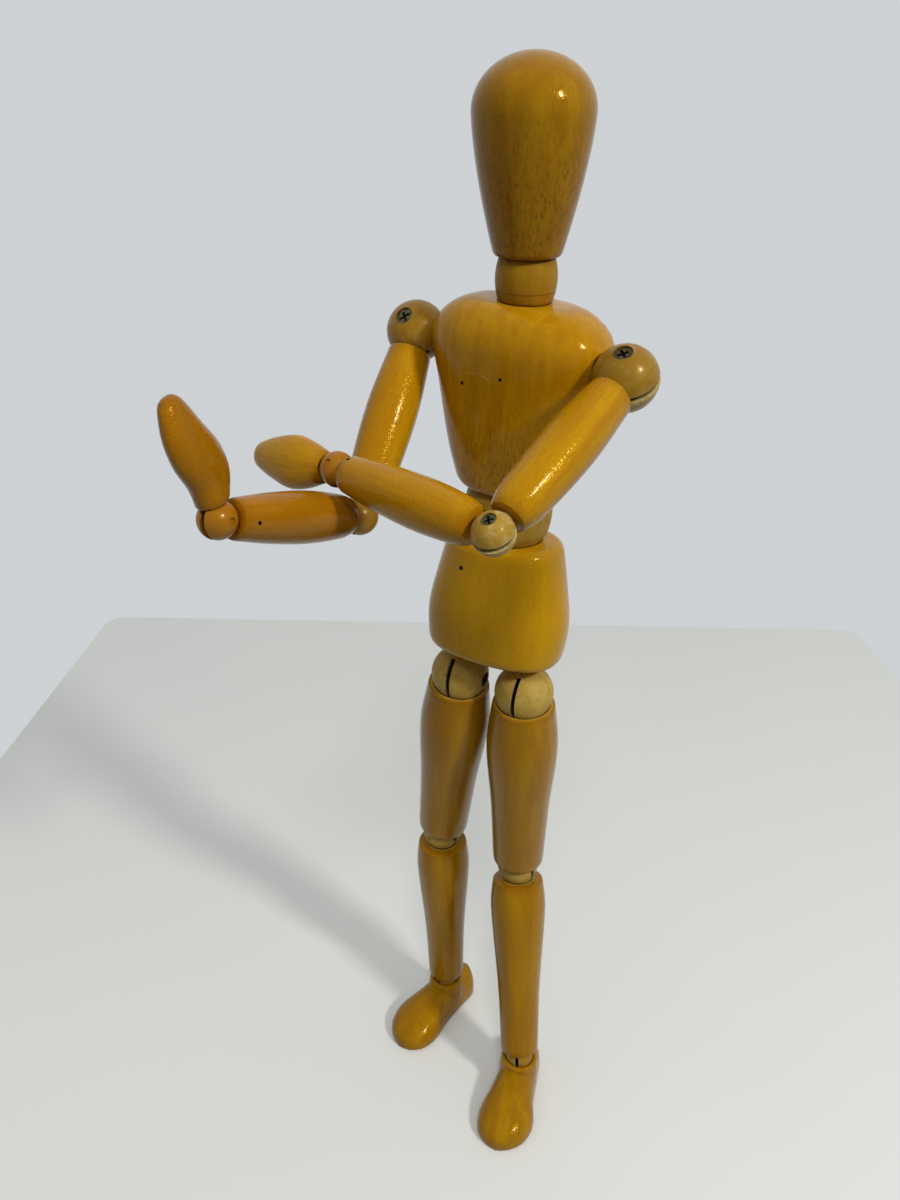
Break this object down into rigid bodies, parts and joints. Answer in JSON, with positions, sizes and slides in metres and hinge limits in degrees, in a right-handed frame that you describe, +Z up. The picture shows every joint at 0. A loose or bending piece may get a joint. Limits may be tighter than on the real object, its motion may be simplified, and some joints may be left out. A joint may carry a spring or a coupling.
{
  "type": "wooden artist mannequin",
  "caption": "Jointed wooden figure standing with both arms held forward; turned limbs swing on slotted balls with screws, and sprung beads carry the chest and head.",
  "frame": {"origin": "on the ground, under the middle of the figure's bounding box", "axes": "+X to the figure's left, -Y to its front, +Z up"},
  "size_m": [0.0979, 0.1218, 0.3308],
  "materials": {
    "lacquered_wood": "glossy amber lacquer",
    "bead_wood": "satin",
    "raw_wood": "raw",
    "screw": "aged",
    "dark_screw": "blackened",
    "steel": "dull"
  },
  "bodies": {
    "pelvis": {"pelvis": "lacquered_wood", "waist_eye": "steel"},
    "waist_ball": {"waist_ball": "bead_wood"},
    "waist_link": {"waist_hook": "steel", "waist_spring": "steel"},
    "chest": {"chest": "lacquered_wood", "neck_eye": "steel"},
    "neck_ball": {"neck_ball": "bead_wood"},
    "neck_link": {"neck_hook": "steel", "neck_spring": "steel"},
    "head": {"head": "lacquered_wood"},
    "left_shoulder_ball": {"left_shoulder_ball": "lacquered_wood", "left_shoulder_screw": "screw"},
    "left_upper_arm": {"left_upper_arm": "lacquered_wood", "left_shoulder_blade": "steel"},
    "left_elbow_ball": {"left_elbow_ball": "lacquered_wood", "left_elbow_screw": "screw"},
    "left_forearm": {"left_forearm": "lacquered_wood", "left_elbow_blade": "steel"},
    "left_wrist_ball": {"left_wrist_ball": "lacquered_wood", "left_wrist_pin": "steel"},
    "left_hand": {"left_hand": "lacquered_wood", "left_wrist_blade": "steel"},
    "left_hip_ball": {"left_hip_ball": "raw_wood", "left_hip_screw": "dark_screw"},
    "left_thigh": {"left_thigh": "lacquered_wood", "left_hip_blade": "steel"},
    "left_knee_ball": {"left_knee_ball": "raw_wood", "left_knee_pin": "steel"},
    "left_shin": {"left_shin": "lacquered_wood", "left_knee_blade": "steel"},
    "left_ankle_ball": {"left_ankle_ball": "raw_wood", "left_ankle_pin": "steel"},
    "left_foot": {"left_foot": "lacquered_wood", "left_ankle_blade": "steel"},
    "right_shoulder_ball": {"right_shoulder_ball": "lacquered_wood", "right_shoulder_screw": "screw"},
    "right_upper_arm": {"right_upper_arm": "lacquered_wood", "right_shoulder_blade": "steel"},
    "right_elbow_ball": {"right_elbow_ball": "lacquered_wood", "right_elbow_screw": "screw"},
    "right_forearm": {"right_forearm": "lacquered_wood", "right_elbow_blade": "steel"},
    "right_wrist_ball": {"right_wrist_ball": "lacquered_wood", "right_wrist_pin": "steel"},
    "right_hand": {"right_hand": "lacquered_wood", "right_wrist_blade": "steel"},
    "right_hip_ball": {"right_hip_ball": "raw_wood", "right_hip_screw": "dark_screw"},
    "right_thigh": {"right_thigh": "lacquered_wood", "right_hip_blade": "steel"},
    "right_knee_ball": {"right_knee_ball": "raw_wood", "right_knee_pin": "steel"},
    "right_shin": {"right_shin": "lacquered_wood", "right_knee_blade": "steel"},
    "right_ankle_ball": {"right_ankle_ball": "raw_wood", "right_ankle_pin": "steel"},
    "right_foot": {"right_foot": "lacquered_wood", "right_ankle_blade": "steel"}
  },
  "joints": [
    {"name": "waist_tilt", "type": "hinge", "parent": "pelvis", "child": "waist_ball", "pos_m": [0.00746, 0.0327, 0.21977], "axis": [0, 1, 0], "range_deg": [-12, 12]},
    {"name": "waist_bow", "type": "hinge", "parent": "waist_ball", "child": "waist_link", "pos_m": [0.00746, 0.0327, 0.21977], "axis": [0.9978, 0, -0.0663], "range_deg": [-14, 10]},
    {"name": "waist_turn", "type": "hinge", "parent": "waist_link", "child": "chest", "pos_m": [0.00746, 0.0327, 0.21977], "axis": [0.066, -0.0924, 0.9935], "range_deg": [-45, 45]},
    {"name": "neck_tilt", "type": "hinge", "parent": "chest", "child": "neck_ball", "pos_m": [0.01162, 0.02688, 0.28236], "axis": [0.1346, 0.9874, 0.0829], "range_deg": [-14, 14]},
    {"name": "neck_nod", "type": "hinge", "parent": "neck_ball", "child": "neck_link", "pos_m": [0.01162, 0.02688, 0.28236], "axis": [0.9902, -0.1308, -0.0498], "range_deg": [-14, 14]},
    {"name": "neck_turn", "type": "hinge", "parent": "neck_link", "child": "head", "pos_m": [0.01162, 0.02688, 0.28236], "axis": [0.036, -0.106, 0.9937], "range_deg": [-80, 80]},
    {"name": "left_shoulder_swivel", "type": "hinge", "parent": "chest", "child": "left_shoulder_ball", "pos_m": [0.04101, 0.02157, 0.2617], "axis": [0.9887, -0.1282, -0.0776], "range_deg": [-80, 3]},
    {"name": "left_shoulder_hinge", "type": "hinge", "parent": "left_shoulder_ball", "child": "left_upper_arm", "pos_m": [0.04101, 0.02157, 0.2617], "axis": [0.0021, 0.5296, -0.8482], "range_deg": [-1, 14]},
    {"name": "left_elbow_swivel", "type": "hinge", "parent": "left_upper_arm", "child": "left_elbow_ball", "pos_m": [0.02826, -0.02292, 0.23389], "axis": [0.2363, 0.824, 0.515], "range_deg": [-2, 90]},
    {"name": "left_elbow_hinge", "type": "hinge", "parent": "left_elbow_ball", "child": "left_forearm", "pos_m": [0.02826, -0.02292, 0.23389], "axis": [-0.0483, -0.5194, 0.8531], "range_deg": [-9, 1]},
    {"name": "left_wrist_swivel", "type": "hinge", "parent": "left_forearm", "child": "left_wrist_ball", "pos_m": [-0.01996, -0.01162, 0.23805], "axis": [0.9702, -0.2276, -0.0837], "range_deg": [-90, 90]},
    {"name": "left_wrist_hinge", "type": "hinge", "parent": "left_wrist_ball", "child": "left_hand", "pos_m": [-0.01996, -0.01162, 0.23805], "axis": [-0.1363, -0.7973, 0.588], "range_deg": [-80, 16]},
    {"name": "left_hip_swivel", "type": "hinge", "parent": "pelvis", "child": "left_hip_ball", "pos_m": [0.01659, 0.0307, 0.16346], "axis": [0.0314, 0, 0.9995], "range_deg": [-60, 30]},
    {"name": "left_hip_hinge", "type": "hinge", "parent": "left_hip_ball", "child": "left_thigh", "pos_m": [0.01659, 0.0307, 0.16346], "axis": [-0.9995, 0, 0.0314], "range_deg": [-45, 80]},
    {"name": "left_knee_swivel", "type": "hinge", "parent": "left_thigh", "child": "left_knee_ball", "pos_m": [0.01433, 0.0409, 0.08818], "axis": [-0.0297, 0.1342, -0.9905], "range_deg": [-60, 45]},
    {"name": "left_knee_hinge", "type": "hinge", "parent": "left_knee_ball", "child": "left_shin", "pos_m": [0.01433, 0.0409, 0.08818], "axis": [-0.2813, -0.952, -0.1205], "range_deg": [-15, 22]},
    {"name": "left_ankle_swivel", "type": "hinge", "parent": "left_shin", "child": "left_ankle_ball", "pos_m": [0.02509, 0.02781, 0.0145], "axis": [0.1422, -0.1732, -0.9746], "range_deg": [-45, 45]},
    {"name": "left_ankle_hinge", "type": "hinge", "parent": "left_ankle_ball", "child": "left_foot", "pos_m": [0.02509, 0.02781, 0.0145], "axis": [0.972, 0.2105, 0.1045], "range_deg": [-25, 18]},
    {"name": "right_shoulder_swivel", "type": "hinge", "parent": "chest", "child": "right_shoulder_ball", "pos_m": [-0.02098, 0.02961, 0.26656], "axis": [0.9887, -0.1282, -0.0776], "range_deg": [-3, 45]},
    {"name": "right_shoulder_hinge", "type": "hinge", "parent": "right_shoulder_ball", "child": "right_upper_arm", "pos_m": [-0.02098, 0.02961, 0.26656], "axis": [0.0577, 0.8033, -0.5928], "range_deg": [-5, 5]},
    {"name": "right_elbow_swivel", "type": "hinge", "parent": "right_upper_arm", "child": "right_elbow_ball", "pos_m": [-0.01997, -0.00249, 0.22316], "axis": [0.0187, -0.5945, -0.8039], "range_deg": [-25, 90]},
    {"name": "right_elbow_hinge", "type": "hinge", "parent": "right_elbow_ball", "child": "right_forearm", "pos_m": [-0.01997, -0.00249, 0.22316], "axis": [0.9924, -0.0868, 0.0873], "range_deg": [-5, 68]},
    {"name": "right_wrist_swivel", "type": "hinge", "parent": "right_forearm", "child": "right_wrist_ball", "pos_m": [-0.02525, -0.05032, 0.2356], "axis": [0.1062, 0.9623, -0.2504], "range_deg": [-90, 90]},
    {"name": "right_wrist_hinge", "type": "hinge", "parent": "right_wrist_ball", "child": "right_hand", "pos_m": [-0.02525, -0.05032, 0.2356], "axis": [0.9916, -0.0838, 0.0987], "range_deg": [-25, 110]},
    {"name": "right_hip_swivel", "type": "hinge", "parent": "pelvis", "child": "right_hip_ball", "pos_m": [-0.00519, 0.0307, 0.16414], "axis": [-0.0314, 0, -0.9995], "range_deg": [-60, 20]},
    {"name": "right_hip_hinge", "type": "hinge", "parent": "right_hip_ball", "child": "right_thigh", "pos_m": [-0.00519, 0.0307, 0.16414], "axis": [-0.9995, 0, 0.0314], "range_deg": [-45, 80]},
    {"name": "right_knee_swivel", "type": "hinge", "parent": "right_thigh", "child": "right_knee_ball", "pos_m": [-0.01643, 0.04271, 0.08994], "axis": [0.1479, -0.158, 0.9763], "range_deg": [-60, 60]},
    {"name": "right_knee_hinge", "type": "hinge", "parent": "right_knee_ball", "child": "right_shin", "pos_m": [-0.01643, 0.04271, 0.08994], "axis": [0.2939, 0.9496, 0.1092], "range_deg": [-16, 45]},
    {"name": "right_ankle_swivel", "type": "hinge", "parent": "right_shin", "child": "right_ankle_ball", "pos_m": [-0.01557, 0.04751, 0.0145], "axis": [0.0114, 0.0635, -0.9979], "range_deg": [-45, 45]},
    {"name": "right_ankle_hinge", "type": "hinge", "parent": "right_ankle_ball", "child": "right_foot", "pos_m": [-0.01557, 0.04751, 0.0145], "axis": [0.9704, -0.2417, -0.0043], "range_deg": [-25, 25]}
  ]
}
